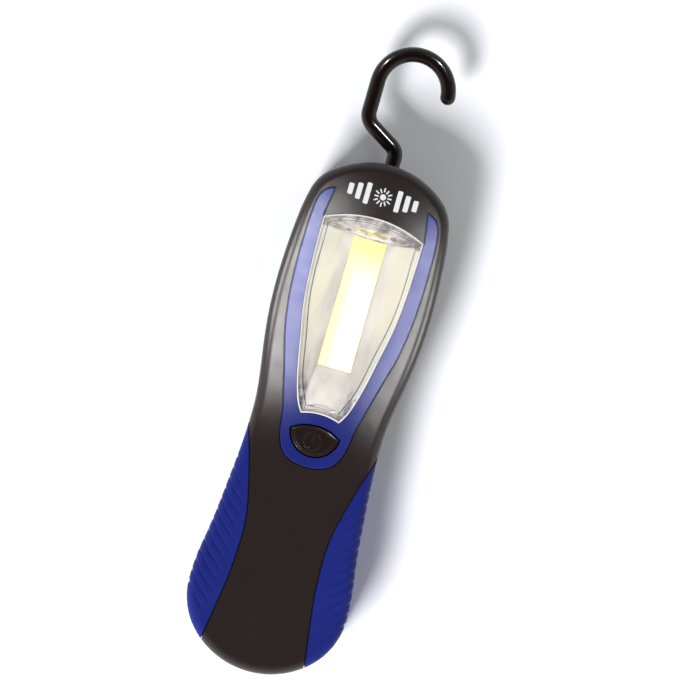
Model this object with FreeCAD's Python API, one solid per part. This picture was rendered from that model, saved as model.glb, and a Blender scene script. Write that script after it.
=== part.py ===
import FreeCAD, Part
import math
import os

# A flat battery work light that lies on its back: +Z is the way the lens faces, +Y the way to the
# hook. Lengths are in millimetres. While the pieces are made, y counts from the tail end of the
# handle; save() then moves them so that the origin is under the middle of the whole light.
V = FreeCAD.Vector

# Driving sizes
BODY_LENGTH = 205.0
HOOK_TOP = 253.2
THICK = 30.0
WALL = 3.0            # shell wall, with the grip's layer counted in
GRIP = 1.4            # grip layer
GROOVE = 0.45          # depth of the grooves between the grip's ribs
SEAM = 0.3            # open line between neighbouring outer pieces
GAP = 0.3             # clearance of moving pieces
FIT = 0.1             # gap between fixed pieces that touch
SPLIT_Z = THICK / 2   # where the two shells meet
AXIS_Z = THICK / 2    # height of the hook's stem
FRONT_ROUND = 4.0
BACK_ROUND = 5.0

# Plan outlines, right half, as places on a smooth line: (half-width, y, heading in degrees from +X).
# smooth() joins them with arcs that meet without a kink.
BODY_SIDE = [(0, 0, 0), (31.85, 29.5, 90), (28.6, 60, 95.2), (26.1, 98, 90), (28.4, 120, 80.4),
             (31.2, 151, 90), (29.9, 177, 95.5), (22.6, 196.7, 139.8), (0, BODY_LENGTH, 180)]
FRONT_SEAM = [(21.6, 3, 97.3), (16.6, 50, 90), (22.4, 81, 74), (28.4, 101, 73.5)]
BACK_SEAM = [(24.2, 3, 90), (24.2, 60, 90), (27.6, 101, 80)]
RIB_PITCH = 4.7
RIB_ANGLE = 42.0
RIB_MARGIN = 1.2            # smooth band beside the front seam
RIB_RANGE = (16.0, 84.0)    # where the ribs start and end along the handle
GROOVE_R = 1.6
GROOVE_LOW_Z = 6.5          # where the grooves run out on the body's side

# Blue trim and lens, right half
TRIM_SIDE = [(0, 82.8, 0), (11.9, 88.8, 66), (15.6, 105, 75.4), (19.5, 120, 75.4), (23.4, 136, 80.5),
             (25.6, 165, 90), (24.8, 184, 98), (22.7, 188.8, 122)]
TRIM_TIP = (18.5, 190.9)
LENS_SIDE = [(7.7, 102.7, 52), (12.8, 115, 76), (17.4, 137.5, 78.5), (20.0, 165, 88.5), (20.2, 178.8, 90)]
ARCH_SIDE = [(6.5, 97.7), (7.7, 102.7), (12.8, 115), (15.9, 130), (18.8, 145), (20.0, 162), (20.2, 178.8),
             (20.2, 187.5)]    # half-width of the lens's arch along the light
LENS_TOP = 183.5            # middle of the lens's upper edge
LENS_BOTTOM = 104.0         # middle of its lower edge
LEDGE_Z = 28.4              # what the trim and the lens's flange sit on
TRIM_Z = THICK + 0.6
RIM_Z = THICK + 0.9         # where the lens's arch springs from its rim
RIM = 0.9
LENS_WALL = 1.5
ARCH_LOW = 2.2              # height of the arch at the button end
ARCH_HIGH = 7.8             # and at the head end

# Power button, a half-lens shape
BUTTON_HALF = 9.6
BUTTON_CORNER_Y = 96.4
BUTTON_TOP_Y = 99.2
BUTTON_LOW_Y = 87.4
BUTTON_Z = THICK + 0.9
BUTTON_FLANGE_Z = 24.9
SYMBOL_Y = 93.3

# Reflector tray: half-widths and y of its inside at the floor, at the step and at the rim
TRAY_FLOOR = [(6.8, 122.2), (7, 128), (7, 140), (7, 158), (7, 175.2)]
TRAY_STEP = [(7.6, 112.0), (9.6, 120), (11.2, 135), (12, 156), (12, 177.0)]
TRAY_RIM = [(7.2, 106.2), (11.4, 117), (15.6, 133), (18.4, 154), (18.6, 178.2)]
TRAY_Z = (22.3, 25.4, 28.4)
TRAY_WALL = 1.2
LED_HALF = 6.3
LED_Y = (122.8, 174.6)
LED_BOARD_Z = 21.0          # top of the LED board
LED_BOARD_HALF = 12.0
LED_BOARD_Y = (119.0, 178.0)
PLATE_THICK = 1.5           # heat plate under the LED board
PLATE_SPARE = 0.5           # how far it stands out round the LED board
FIN_X = (-12.4, -6.2, 0.0, 6.2, 12.4)
FIN_Y = (132.0, 166.0)
FIN_DEPTH = 4.0

# Cells: three of size AA side by side
CELL_R = 7.25
CELL_LENGTH = 50.5
CELL_PITCH = 14.75
CELL_Z = 10.45
NUB_R = 2.75
NUB_LENGTH = 1.0
BAY_Y = (18.0, 74.6)        # inside of the battery bay
BAY_HALF = 22.4
BAY_TOP = 18.4
BAY_WALL = 1.6
CONTACT = 0.4
CONTACT_Z = (4.0, 17.0)
SPRING_ROOM = BAY_Y[1] - BAY_Y[0] - 2 * CONTACT - CELL_LENGTH - 0.02    # behind each cell
SPRING_WIRE_R = 0.35
SPRING_R = 4.0
SPRING_TURNS = 4

# Battery door
DOOR_END = 76.0
DOOR_HALF = 22.6
DOOR_THICK = 2.0
DOOR_LIP_Z = 8.0            # how far the door climbs the tail wall

# Hook
WIRE_R = 3.0
STEM_R = 3.0
BUSH_R = 4.5
BUSH_Y = (196.4, 204.4)
COLLAR_R = 6.6
COLLAR_Y = (199.4, 201.1)
WASHER_R = 5.6
WASHER_Y = (195.4, 196.2)
CLIP_R = 5.0
CLIP_Y = (193.1, 193.9)
STEM_NECK_R = 2.3           # the stem inside the clip's groove
HOOK_R = 14.1
HOOK_CENTRE_Y = 236.1
HOOK_LEFT = -14.5
HOOK_END = 4.5          # how far above its middle the hook's round stops, in degrees

# Magnet
MAGNET_Y = 158.0
MAGNET_R = 10.5
CUP_R = 12.0

# Fixings
CASE_SCREWS = [(19.0, 83.5), (-19.0, 83.5), (20.5, 187.0), (-20.5, 187.0), (0.0, 9.5)]
PLATE_SCREWS = [(9.6, 127.0), (-9.6, 127.0), (9.6, 171.0), (-9.6, 171.0)]
BOARD_SCREWS = [(10.5, 82.5), (-10.5, 105.0)]
BOARD_Z = 18.6              # top of the control board
BOARD_THICK = 1.6
BOARD_HALF = 13.0
BOARD_Y = (79.0, 108.0)
SWITCH_HALF = 3.0
PLUNGER_R = 1.68
PAD_R = (4.7, 5.8)          # inside and outside of the silicone return pad

# Fixed screws: head radius and height, shank radius and length
CASE_SCREW = (2.3, 1.6, 1.3, 13.5)
PLATE_SCREW = (1.9, 1.3, 0.9, 3.2)
BOARD_SCREW = (2.1, 1.3, 1.0, 6.0)
CASE_HEAD_Z = 7.1           # underside of the case screws' heads, deep in their wells
WELL_R = 2.6

MIDDLE_X = V(1, 0, 0)
UP = V(0, 0, 1)
ALONG = V(0, 1, 0)


def save(name, shape):
    """Write one piece, moved so that the origin is under the middle of the light."""
    placed = shape.copy()
    placed.translate(V(0, -HOOK_TOP / 2, 0))
    placed.exportStep(os.path.join("parts", name + ".step"))


def box(x0, x1, y0, y1, z0, z1):
    return Part.makeBox(x1 - x0, y1 - y0, z1 - z0, V(x0, y0, z0))


def post(x, y, z0, z1, radius):
    """An upright round bar."""
    return Part.makeCylinder(radius, z1 - z0, V(x, y, z0), UP)


def rod(y0, y1, radius, x=0.0, z=AXIS_Z):
    """A round bar along the light."""
    return Part.makeCylinder(radius, y1 - y0, V(x, y0, z), ALONG)


def mirrored(shape):
    return shape.mirror(V(0, 0, 0), MIDDLE_X)


def join(first, *others):
    """Fuse pieces of one solid."""
    return first.multiFuse(list(others)).removeSplitter()


def arc(a, b, c):
    return Part.Arc(V(*a, 0), V(*b, 0), V(*c, 0)).toShape()


def line(a, b):
    return Part.LineSegment(V(*a, 0), V(*b, 0)).toShape()


def prism(edges, z0, z1):
    """Extrude the closed plan outline made of these edges."""
    face = Part.Face(Part.Wire(Part.sortEdges(edges)[0]))
    face.translate(V(0, 0, z0))
    return face.extrude(V(0, 0, z1 - z0))


def left_of(direction):
    return V(-direction.y, direction.x, 0)


def bend(start, direction, end, shift):
    """An arc, or a straight line, that leaves start in a direction and comes to end, moved to its left."""
    chord = end - start
    length = chord.Length
    chord.normalize()
    turn = math.atan2(chord.x * direction.y - chord.y * direction.x, chord.dot(direction))
    leaving = V(chord.x * math.cos(turn) + chord.y * math.sin(turn),
                chord.y * math.cos(turn) - chord.x * math.sin(turn), 0)
    first = start + left_of(direction) * shift
    last = end + left_of(leaving) * shift
    if abs(turn) < 1e-4:
        return Part.LineSegment(first, last).toShape()
    middle = (start + end) * 0.5 + left_of(chord) * (length / 2 * math.tan(turn / 2) + shift)
    return Part.Arc(first, middle, last).toShape()


def smooth(places, shift=0.0):
    """Pairs of arcs through places with headings, all moved to the left of the way they run."""
    edges = []
    for (x0, y0, heading0), (x1, y1, heading1) in zip(places, places[1:]):
        start = V(x0, y0, 0)
        end = V(x1, y1, 0)
        out = V(math.cos(math.radians(heading0)), math.sin(math.radians(heading0)), 0)
        into = V(math.cos(math.radians(heading1)), math.sin(math.radians(heading1)), 0)
        run = end - start
        both = out + into
        spread = 2 * (1 - out.dot(into))
        if spread < 1e-9:
            reach = run.dot(run) / (4 * run.dot(into))
        else:
            reach = (math.sqrt(run.dot(both) ** 2 + spread * run.dot(run)) - run.dot(both)) / spread
        joint = (start + end + (out - into) * reach) * 0.5
        across = (end - into * reach) - (start + out * reach)
        across.normalize()
        edges.append(bend(start, out, joint, shift))
        edges.append(bend(joint, across, end, shift))
    return edges


def ends(edges):
    """The first and last points of a run of edges."""
    return edges[0].firstVertex(True).Point, edges[-1].lastVertex(True).Point


def body(inset):
    """The whole body's form with rounded edges, smaller all round by the inset."""
    right = smooth(BODY_SIDE, inset)
    solid = prism(right + [mirrored(edge) for edge in right], inset, THICK - inset)
    front = [edge for edge in solid.Edges if edge.BoundBox.ZMin > SPLIT_Z]
    solid = solid.makeFillet(FRONT_ROUND - min(inset, FRONT_ROUND - 0.6), front)
    back = [edge for edge in solid.Edges if edge.BoundBox.ZMax < inset + 0.01]
    return solid.makeFillet(BACK_ROUND - inset, back)


# ---- plan regions -------------------------------------------------------------------------

def beside(seam, margin, z0, z1):
    """Everything to the right of a grip seam, as a tall block."""
    edges = smooth(seam, -margin)
    start, end = ends(edges)
    far = 45.0
    edges += [line((end.x, end.y), (far, end.y)), line((far, end.y), (far, start.y)),
              line((far, start.y), (start.x, start.y))]
    return prism(edges, z0, z1)


def grip_region(margin):
    """Where the right grip's layer lies: wider on the front than on the back."""
    front = beside(FRONT_SEAM, margin, SPLIT_Z, THICK + 5)
    back = beside(BACK_SEAM, margin, -5, SPLIT_Z)
    return front.fuse(back)


def lens_block(grow, z0, z1):
    """The lens's plan outline, wider all round by grow."""
    side = smooth(LENS_SIDE, -grow)
    low, high = ends(side)
    top = arc((high.x, high.y), (0, LENS_TOP + grow), (-high.x, high.y))
    bottom = arc((low.x, low.y), (0, LENS_BOTTOM - grow), (-low.x, low.y))
    return prism(side + [mirrored(edge) for edge in side] + [top, bottom], z0, z1)


def trim_block(grow, z0, z1):
    """The trim's outer outline, with its two arms; the lens fills the rest of it."""
    side = smooth(TRIM_SIDE, -grow)
    top = ends(side)[1]
    tip_in = (TRIM_TIP[0] - grow, TRIM_TIP[1] + grow)
    round_end = (20.8, 190.1 + grow)
    corner = LENS_SIDE[-1]
    corner_in = (corner[0] - grow, corner[1])
    tip = arc((top.x, top.y), round_end, tip_in)
    arm = line(tip_in, corner_in)
    across = line(corner_in, (-corner_in[0], corner_in[1]))
    right = side + [tip, arm]
    return prism(right + [mirrored(edge) for edge in right] + [across], z0, z1)


def button_block(grow, z0, z1):
    """The button's plan outline, wider all round by grow."""
    corner = (BUTTON_HALF + 1.3 * grow, BUTTON_CORNER_Y)
    opposite = (-corner[0], corner[1])
    top = arc(corner, (0, BUTTON_TOP_Y + grow), opposite)
    low = arc(corner, (0, BUTTON_LOW_Y - grow), opposite)
    block = prism([top, low], z0, z1)
    uprights = [edge for edge in block.Edges if edge.BoundBox.ZLength > z1 - z0 - 0.01]
    return block.makeFillet(0.5, uprights)


def door_path():
    """The space the sliding battery door needs in the rear shell and the grips."""
    floor_z = DOOR_THICK + GAP + GAP
    half_out = DOOR_HALF - 1.3 + GAP
    half_in = DOOR_HALF + GAP
    wire = Part.makePolygon([V(-half_out, -5, -1), V(half_out, -5, -1), V(half_in, -5, floor_z),
                             V(-half_in, -5, floor_z), V(-half_out, -5, -1)])
    track = Part.Face(wire).extrude(V(0, DOOR_END + GAP + 5, 0))
    tail = box(-half_in, half_in, -5, 12.5, 0.5, DOOR_LIP_Z + GAP)
    return track.fuse(tail)


# ---- shells ----------------------------------------------------------------------------------

OUTER = body(0)
CAVITY = body(WALL)
POCKET = grip_region(-SEAM)
# The case's outside, with a recess on each side for the grips
CASE = body(GRIP + FIT).fuse(OUTER.cut(POCKET).cut(mirrored(POCKET)))


def front_boss(x, y, radius):
    return post(x, y, SPLIT_Z + 0.2, THICK - WALL + 0.1, radius)


def hook_rib(z0, z1):
    """A wall behind the hook's bush, with half of the bush's hole."""
    rib = box(-12, 12, 196.6, 199.2, z0, z1).common(body(WALL - 0.2))
    return rib.cut(rod(190, 210, BUSH_R + FIT))


def make_front_shell():
    upper = box(-50, 50, -5, 220, SPLIT_Z + FIT / 2, THICK + 5)
    shell = CASE.common(upper).cut(CAVITY)
    bosses = [front_boss(x, y, 3.2) for x, y in CASE_SCREWS]
    shell = join(shell, hook_rib(SPLIT_Z + FIT / 2, THICK - WALL + 0.1), *bosses)
    for x, y in CASE_SCREWS:
        shell = shell.cut(post(x, y, SPLIT_Z - 1, 23.5, 1.35))
    shell = shell.cut(trim_block(SEAM / 2, LEDGE_Z, THICK + 5))
    shell = shell.cut(lens_block(SEAM / 2, LEDGE_Z, THICK + 5))
    shell = shell.cut(lens_block(0, 20, THICK + 5))
    shell = shell.cut(button_block(0.45, 20, THICK + 5))
    return shell.cut(rod(190, 210, BUSH_R + FIT))


def rear_boss(x, y):
    return post(x, y, WALL - 0.1, SPLIT_Z - 0.2, 3.6)


def battery_bay():
    """Walls and roof round the three cells, open to the door."""
    outer = box(-BAY_HALF - BAY_WALL, BAY_HALF + BAY_WALL, BAY_Y[0] - BAY_WALL, BAY_Y[1] + BAY_WALL,
                DOOR_THICK + 2 * GAP, BAY_TOP + BAY_WALL)
    inner = box(-BAY_HALF, BAY_HALF, BAY_Y[0], BAY_Y[1], -1, BAY_TOP)
    walls = outer.cut(inner)
    low = walls.common(body(2.0)).common(box(-50, 50, 0, 100, 0, SPLIT_Z - FIT / 2))
    high = walls.common(body(WALL + GAP))
    return low.fuse(high)


def make_rear_shell():
    lower = box(-50, 50, -5, 220, -5, SPLIT_Z - FIT / 2)
    shell = CASE.common(lower).cut(CAVITY).cut(door_path())
    bosses = [rear_boss(x, y) for x, y in CASE_SCREWS]
    stands = [post(x, y, WALL - 0.1, BOARD_Z - BOARD_THICK, 2.4) for x, y in BOARD_SCREWS]
    tail_rib = box(-1.2, 1.2, 12, BAY_Y[0] - 1, 4, SPLIT_Z - 0.2)
    seat = post(0, MAGNET_Y, WALL - 0.1, 5.4, CUP_R + 3.4).cut(post(0, MAGNET_Y, 0, 6, CUP_R + 1.6))
    shell = join(shell, battery_bay(), hook_rib(WALL - 0.1, SPLIT_Z - FIT / 2), tail_rib, seat,
                 *bosses, *stands)
    for x, y in CASE_SCREWS:
        shell = shell.cut(post(x, y, -1, CASE_HEAD_Z, WELL_R)).cut(post(x, y, 0, SPLIT_Z, 1.5))
    for x, y in BOARD_SCREWS:
        shell = shell.cut(post(x, y, 10, BOARD_Z, 1.1))
    shell = shell.cut(box(-BAY_HALF, BAY_HALF, *BAY_Y, -1, WALL + 1))
    shell = shell.cut(post(0, MAGNET_Y, -1, 4, CUP_R + 0.15))
    return shell.cut(rod(190, 210, BUSH_R + FIT))


def groove(start, end):
    """A round-bottomed groove: across the front, over the edge and down the side, where it runs out."""
    rise = GROOVE_R - GROOVE
    out = (end - start).normalize()
    slant = rise / math.cos(math.radians(RIB_ANGLE))
    corner = end + out * slant + UP * (THICK + rise)
    first = start + UP * (THICK + GROOVE_R - 0.05)
    last = end + out * (slant + GROOVE) + UP * GROOVE_LOW_Z
    path = Part.Wire(rounded_path([first, corner, last], [FRONT_ROUND + GROOVE_R]))
    profile = Part.Wire(Part.Circle(first, corner - first, GROOVE_R).toShape())
    return path.makePipe(Part.Face(profile))


def make_grip():
    """The right grip, with diagonal ribs over its outer side."""
    layer = OUTER.cut(body(GRIP)).common(grip_region(0)).cut(door_path())
    field = OUTER.common(beside(FRONT_SEAM, RIB_MARGIN, SPLIT_Z, SPLIT_Z + 4))
    slope = math.tan(math.radians(RIB_ANGLE))
    shortest = FRONT_ROUND + GROOVE_R
    far = 30.0
    y = RIB_RANGE[0] - 10 * slope
    while y < RIB_RANGE[1]:
        run = Part.LineSegment(V(10, y, SPLIT_Z + 2), V(10 + far, y + far * slope, SPLIT_Z + 2)).toShape()
        reach = field.common(run).BoundBox
        low_enough = reach.isValid() and reach.YMax < RIB_RANGE[1] and reach.YMin > RIB_RANGE[0]
        if low_enough and math.hypot(reach.XLength, reach.YLength) > shortest:
            layer = layer.cut(groove(V(reach.XMin, reach.YMin, 0), V(reach.XMax, reach.YMax, 0)))
        y += RIB_PITCH
    return layer


# ---- light ----------------------------------------------------------------------------------

def make_trim():
    trim = trim_block(-SEAM / 2, LEDGE_Z + 0.02, TRIM_Z)
    top = [edge for edge in trim.Edges if edge.BoundBox.ZMin > TRIM_Z - 0.01 and edge.BoundBox.XLength < 30]
    trim = trim.makeFillet(0.5, top)
    trim = trim.cut(lens_block(FIT / 2, LEDGE_Z - 1, TRIM_Z + 1))
    return trim.cut(button_block(0.45, LEDGE_Z - 1, TRIM_Z + 1))


def arch(inset):
    """The lens's arched part: it rises towards the head, and its ends slope at 45 degrees."""
    sections = []
    span = LENS_SIDE[-1][1] - LENS_SIDE[0][1]
    for half, y in ARCH_SIDE:
        share = (y - LENS_SIDE[0][1]) / span
        height = ARCH_LOW + (ARCH_HIGH - ARCH_LOW) * share - inset
        reach = half - RIM - inset
        low = RIM_Z - 0.2
        left = V(-reach, y, low)
        right = V(reach, y, low)
        crown = Part.Arc(left, V(0, y, RIM_Z + height), right).toShape()
        sections.append(Part.Wire([crown, Part.LineSegment(right, left).toShape()]))
    vault = Part.makeLoft(sections, True, False)
    rise = 12.0
    start_z = RIM_Z - 2
    corner_x, corner_y, _ = LENS_SIDE[-1]
    sag = LENS_TOP - corner_y
    head_r = (corner_x ** 2 + sag ** 2) / (2 * sag)
    radius = head_r - RIM - inset * 1.4 + 2
    head = Part.makeCone(radius, radius - rise, rise, V(0, LENS_TOP - head_r, start_z), UP)
    corner_x, corner_y, _ = LENS_SIDE[0]
    sag = LENS_BOTTOM - corner_y
    foot_r = (corner_x ** 2 + sag ** 2) / (2 * sag)
    radius = foot_r + RIM + inset * 1.4 - 2
    foot = Part.makeCone(radius, radius + rise, rise, V(0, LENS_BOTTOM - foot_r, start_z), UP)
    return vault.common(head).cut(foot)


def make_lens():
    outer = lens_block(-FIT / 2, LEDGE_Z + 0.02, RIM_Z).fuse(arch(0))
    inner = lens_block(-RIM - LENS_WALL, LEDGE_Z - 1, RIM_Z - LENS_WALL + 0.9).fuse(arch(LENS_WALL))
    return outer.cut(inner).removeSplitter()


def ring(points, z, grow):
    """One level of the tray as a closed polygon, wider all round by grow."""
    right = [(half + grow, y) for half, y in points]
    right[0] = (right[0][0], right[0][1] - grow)
    right[-1] = (right[-1][0], right[-1][1] + grow)
    corners = [V(x, y, z) for x, y in right] + [V(-x, y, z) for x, y in reversed(right)]
    return Part.makePolygon(corners + corners[:1])


def tray(grow, drop):
    """The tray's form: steep walls up to the step, flatter ones above."""
    floor = ring(TRAY_FLOOR, TRAY_Z[0] - drop, grow)
    step = ring(TRAY_STEP, TRAY_Z[1], grow)
    rim = ring(TRAY_RIM, TRAY_Z[2], grow)
    return Part.makeLoft([floor, step], True, True).fuse(Part.makeLoft([step, rim], True, True))


def make_reflector():
    outside = tray(TRAY_WALL, TRAY_WALL).common(lens_block(-FIT, 20, LEDGE_Z))
    flange = lens_block(0.6, 25.6, THICK - WALL - FIT).fuse(lens_block(-FIT, 25.6, LEDGE_Z))
    flange = flange.cut(button_block(2.2, 20, THICK))
    bosses = [post(x, y, TRAY_Z[0] - TRAY_WALL, 25.8, 2.2) for x, y in PLATE_SCREWS]
    reflector = join(outside, flange, *bosses).cut(tray(0, 0))
    slot = box(-LED_HALF - 0.2, LED_HALF + 0.2, LED_Y[0] - 0.2, LED_Y[1] + 0.2, 20, 24)
    reflector = reflector.cut(slot)
    for x, y in PLATE_SCREWS:
        reflector = reflector.cut(post(x, y, 20, 22.9, 0.95))
    return reflector


def make_led_board():
    half = LED_BOARD_HALF
    board = box(-half, half, *LED_BOARD_Y, LED_BOARD_Z - 1, LED_BOARD_Z)
    for x, y in PLATE_SCREWS:
        board = board.cut(post(x, y, 19, 22, 1.1))
    return board


def make_phosphor():
    return box(-LED_HALF, LED_HALF, LED_Y[0], LED_Y[1], LED_BOARD_Z + 0.02, LED_BOARD_Z + 1.1)


def make_heat_plate():
    """The aluminium plate that carries the LED board, with cooling fins behind it."""
    top = LED_BOARD_Z - 1.02
    low = top - PLATE_THICK
    half = LED_BOARD_HALF + 2 * PLATE_SPARE
    plate = box(-half, half, LED_BOARD_Y[0] - PLATE_SPARE, LED_BOARD_Y[1] + PLATE_SPARE, low, top)
    fins = [box(x - 0.6, x + 0.6, *FIN_Y, low - FIN_DEPTH, low + 0.1) for x in FIN_X]
    plate = join(plate, *fins)
    for x, y in PLATE_SCREWS:
        plate = plate.cut(post(x, y, 15, 22, 1.1))
    return plate


def screw(x, y, head_z, sizes, up=1):
    """A pan-head screw with a cross recess; its shank points up (1) or down (-1) from head_z."""
    head_r, head_height, shank_r, length = sizes
    head = Part.makeCylinder(head_r, head_height, V(x, y, head_z), V(0, 0, -up))
    shank = Part.makeCylinder(shank_r, length, V(x, y, head_z), V(0, 0, up))
    tip = Part.makeCone(shank_r, 0.3, 1.0, V(x, y, head_z + up * length), V(0, 0, up))
    slot_z = sorted([head_z - up * head_height * 0.4, head_z - up * (head_height + 1)])
    reach = head_r * 0.6
    half = head_r * 0.13
    cross = box(x - reach, x + reach, y - half, y + half, *slot_z)
    cross = cross.fuse(box(x - half, x + half, y - reach, y + reach, *slot_z))
    return join(head, shank, tip).cut(cross)


# ---- button and board --------------------------------------------------------------------------

def make_button():
    cap = button_block(0, BUTTON_FLANGE_Z + 0.5, BUTTON_Z)
    cap = cap.makeFillet(0.8, [edge for edge in cap.Edges if edge.BoundBox.ZMin > BUTTON_Z - 0.01])
    panel_z = BUTTON_Z + 0.25
    panel = button_block(-1.1, BUTTON_Z - 0.3, panel_z)
    panel = panel.makeFillet(0.2, [edge for edge in panel.Edges if edge.BoundBox.ZMin > panel_z - 0.01])
    flange = button_block(1.2, BUTTON_FLANGE_Z, BUTTON_FLANGE_Z + 1.2)
    circle = post(0, SYMBOL_Y, panel_z - 0.3, panel_z + 0.25, 3.7)
    circle = circle.cut(post(0, SYMBOL_Y, panel_z - 1, panel_z + 1, 2.9))
    circle = circle.cut(box(-1.3, 1.3, SYMBOL_Y, SYMBOL_Y + 5, panel_z - 1, panel_z + 1))
    bar = box(-0.4, 0.4, SYMBOL_Y - 0.6, SYMBOL_Y + 4.0, panel_z - 0.3, panel_z + 0.25)
    return join(cap, panel, flange, circle, bar)


def make_control_board():
    board = box(-BOARD_HALF, BOARD_HALF, *BOARD_Y, BOARD_Z - BOARD_THICK, BOARD_Z)
    for x, y in BOARD_SCREWS:
        board = board.cut(post(x, y, 10, 20, 1.3))
    return board


def make_switch_body():
    half = SWITCH_HALF
    block = box(-half, half, SYMBOL_Y - half, SYMBOL_Y + half, BOARD_Z + 0.02, BOARD_Z + 3.5)
    return block.cut(post(0, SYMBOL_Y, BOARD_Z + 0.4, BOARD_Z + 4, PLUNGER_R + 0.07))


def make_return_pad():
    pad = post(0, SYMBOL_Y, BOARD_Z + 0.02, BUTTON_FLANGE_Z - 0.02, PAD_R[1])
    return pad.cut(post(0, SYMBOL_Y, BOARD_Z, BUTTON_FLANGE_Z, PAD_R[0]))


# ---- cells -----------------------------------------------------------------------------------

def make_cell(place, forward):
    """A cell with its round nub; forward is 1 when the nub points to the hook."""
    nub = NUB_LENGTH
    x = place * CELL_PITCH
    if forward > 0:
        start = BAY_Y[1] - CONTACT - CELL_LENGTH - 0.02
        can = rod(start, start + CELL_LENGTH - nub, CELL_R, x, CELL_Z)
        tip = rod(start + CELL_LENGTH - nub - 0.1, start + CELL_LENGTH, NUB_R, x, CELL_Z)
    else:
        start = BAY_Y[0] + CONTACT + 0.02
        can = rod(start + nub, start + CELL_LENGTH, CELL_R, x, CELL_Z)
        tip = rod(start, start + nub + 0.1, NUB_R, x, CELL_Z)
    edges = [edge for edge in can.Edges if edge.Length > 6 * CELL_R and edge.BoundBox.YLength < 0.1]
    return join(can.makeFillet(0.6, edges), tip)


def make_contact_plates():
    head = (BAY_Y[1] - CONTACT, BAY_Y[1] - 0.02)
    tail = (BAY_Y[0] + 0.02, BAY_Y[0] + CONTACT)
    plates = [
        box(-21.5, -8, *head, *CONTACT_Z),
        box(-7, 21.5, *head, *CONTACT_Z),
        box(-21.5, 7, *tail, *CONTACT_Z),
        box(8, 21.5, *tail, *CONTACT_Z),
    ]
    return Part.makeCompound(plates)


def spring_coil(x, start_y):
    """A cell spring of round wire."""
    room = SPRING_ROOM - 2 * SPRING_WIRE_R - 0.1
    path = Part.Wire(Part.makeHelix(room / SPRING_TURNS, room, SPRING_R))
    profile = Part.Wire(Part.makeCircle(SPRING_WIRE_R, V(SPRING_R, 0, 0), ALONG))
    coil = path.makePipeShell([profile], True, True)
    coil.rotate(V(0, 0, 0), MIDDLE_X, -90)
    coil.translate(V(x, start_y + SPRING_WIRE_R + 0.05, CELL_Z))
    return coil


def make_springs():
    tail = BAY_Y[0] + CONTACT
    head = BAY_Y[1] - CONTACT - SPRING_ROOM
    coils = [spring_coil(-CELL_PITCH, tail), spring_coil(0, head), spring_coil(CELL_PITCH, tail)]
    return Part.makeCompound(coils)


def make_door():
    """The sliding battery door: a panel with sloping sides that turns up over the tail."""
    half_out = DOOR_HALF - 1.3
    top = DOOR_THICK + GAP
    wire = Part.makePolygon([V(-half_out, -5, -1), V(half_out, -5, -1), V(DOOR_HALF, -5, top),
                             V(-DOOR_HALF, -5, top), V(-half_out, -5, -1)])
    track = Part.Face(wire).extrude(V(0, DOOR_END + 5, 0))
    tail = box(-DOOR_HALF, DOOR_HALF, -5, 12, 1.2, DOOR_LIP_Z)
    skin = body(GAP).cut(body(GAP + DOOR_THICK))
    door = skin.common(track.fuse(tail))
    for y in (60.0, 63.0, 66.0, 69.0):
        ridge = Part.makeCylinder(0.9, 20, V(-10, y, GAP - 0.45), MIDDLE_X)
        door = door.cut(ridge)
    return door.removeSplitter()


# ---- hook --------------------------------------------------------------------------------------

def rounded_path(corners, radii):
    """A wire of straight runs with an arc of the given radius at each inner corner."""
    edges = []
    here = corners[0]
    for index in range(1, len(corners) - 1):
        corner = corners[index]
        back = (corners[index - 1] - corner).normalize()
        ahead = (corners[index + 1] - corner).normalize()
        half_angle = back.getAngle(ahead) / 2
        radius = radii[index - 1]
        reach = radius / math.tan(half_angle)
        first = corner + back * reach
        last = corner + ahead * reach
        middle = (back + ahead).normalize()
        belly = corner + middle * (radius / math.sin(half_angle) - radius)
        edges.append(Part.LineSegment(here, first).toShape())
        edges.append(Part.Arc(first, belly, last).toShape())
        here = last
    edges.append(Part.LineSegment(here, corners[-1]).toShape())
    return edges


def make_hook():
    z = AXIS_Z
    start = V(0, 191.5, z)
    low_bend = V(0, 211.4, z)
    side_bend = V(HOOK_LEFT, 220.2, z)
    rise = V(HOOK_LEFT, HOOK_CENTRE_Y, z)
    edges = rounded_path([start, low_bend, side_bend, rise], [5.0, 6.5])
    top = V(HOOK_LEFT + HOOK_R, HOOK_CENTRE_Y + HOOK_R, z)
    stop = math.radians(HOOK_END)
    tip = V(HOOK_LEFT + HOOK_R + HOOK_R * math.cos(stop), HOOK_CENTRE_Y + HOOK_R * math.sin(stop), z)
    edges.append(Part.Arc(rise, top, tip).toShape())
    profile = Part.Face(Part.Wire(Part.makeCircle(WIRE_R, start, ALONG)))
    bar = Part.Wire(edges).makePipe(profile)
    knob = Part.makeSphere(WIRE_R, tip)
    hook = bar.fuse(knob)
    slot = rod(CLIP_Y[0] - FIT, CLIP_Y[1] + FIT, STEM_R + 1).cut(rod(192.0, 195.0, STEM_NECK_R))
    return hook.cut(slot).removeSplitter()


def make_bush():
    bush = rod(*BUSH_Y, BUSH_R)
    collar = rod(*COLLAR_Y, COLLAR_R)
    return join(bush, collar).cut(rod(190, 210, STEM_R + 0.06))


def make_washer():
    return rod(*WASHER_Y, WASHER_R).cut(rod(190, 210, STEM_R + 0.1))


def make_clip():
    """An open snap ring in the stem's groove."""
    clip = rod(*CLIP_Y, CLIP_R).cut(rod(190, 210, STEM_NECK_R + 0.05))
    return clip.cut(box(-1.8, 1.8, 190, 200, AXIS_Z - 8, AXIS_Z))


# ---- magnet --------------------------------------------------------------------------------------

def make_cup():
    cup = post(0, MAGNET_Y, 0.2, 4.2, CUP_R).fuse(post(0, MAGNET_Y, WALL + FIT, 4.2, CUP_R + 1.4))
    return cup.cut(post(0, MAGNET_Y, -1, 3.3, MAGNET_R + 0.1)).removeSplitter()


# ---- wires ---------------------------------------------------------------------------------------

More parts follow.
